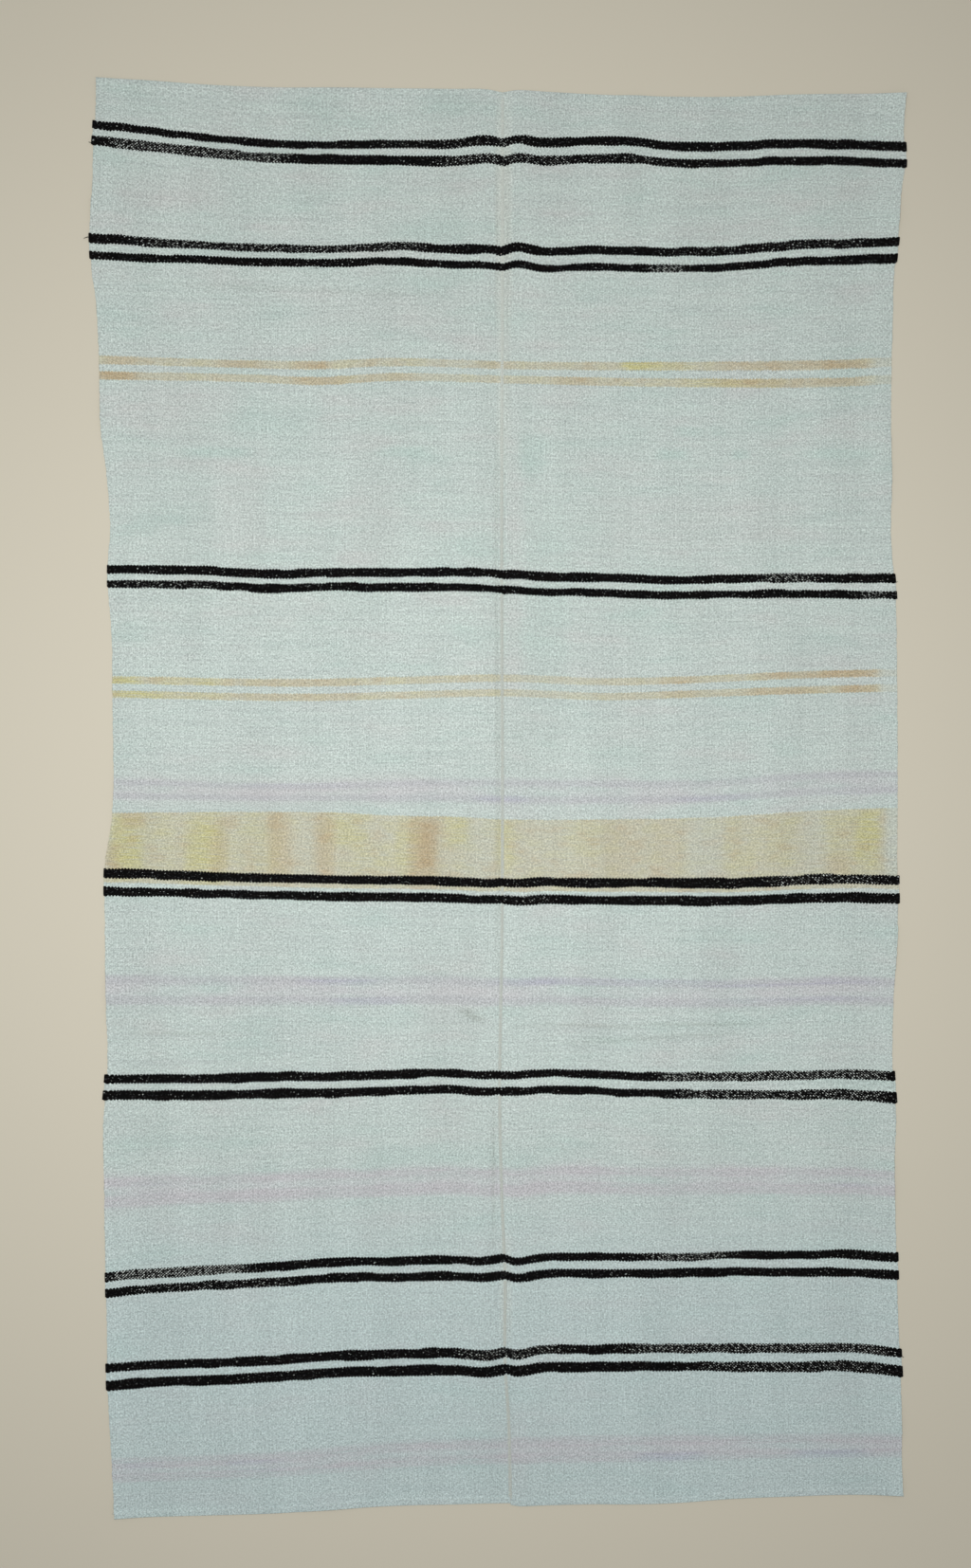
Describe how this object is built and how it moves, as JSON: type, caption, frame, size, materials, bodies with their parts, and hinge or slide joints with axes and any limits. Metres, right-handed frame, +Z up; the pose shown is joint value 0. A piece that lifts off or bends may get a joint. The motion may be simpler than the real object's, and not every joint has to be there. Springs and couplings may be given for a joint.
{
  "type": "hemp kilim rug",
  "caption": "Flat-woven hemp floor rug with a centre seam, paired dark hair bands across it and narrow hemmed ends, lying flat.",
  "frame": {"origin": "middle of the rug's outline, on the floor it lies on", "axes": "+X across the rug to the right, +Y up its length, +Z up from the floor"},
  "size_m": [2.0134, 3.5078, 0.0111],
  "materials": {
    "hemp_cloth": "undyed bleached hemp, weft-faced flat weave, dry and matt",
    "goat_hair": "black goat-hair weft bands, coarse and slightly glossy",
    "sewing_thread": "pale waxed hemp thread of the seam and hems"
  },
  "bodies": {
    "root": {"panel_left": "hemp_cloth", "panel_right": "hemp_cloth"}
  },
  "joints": []
}
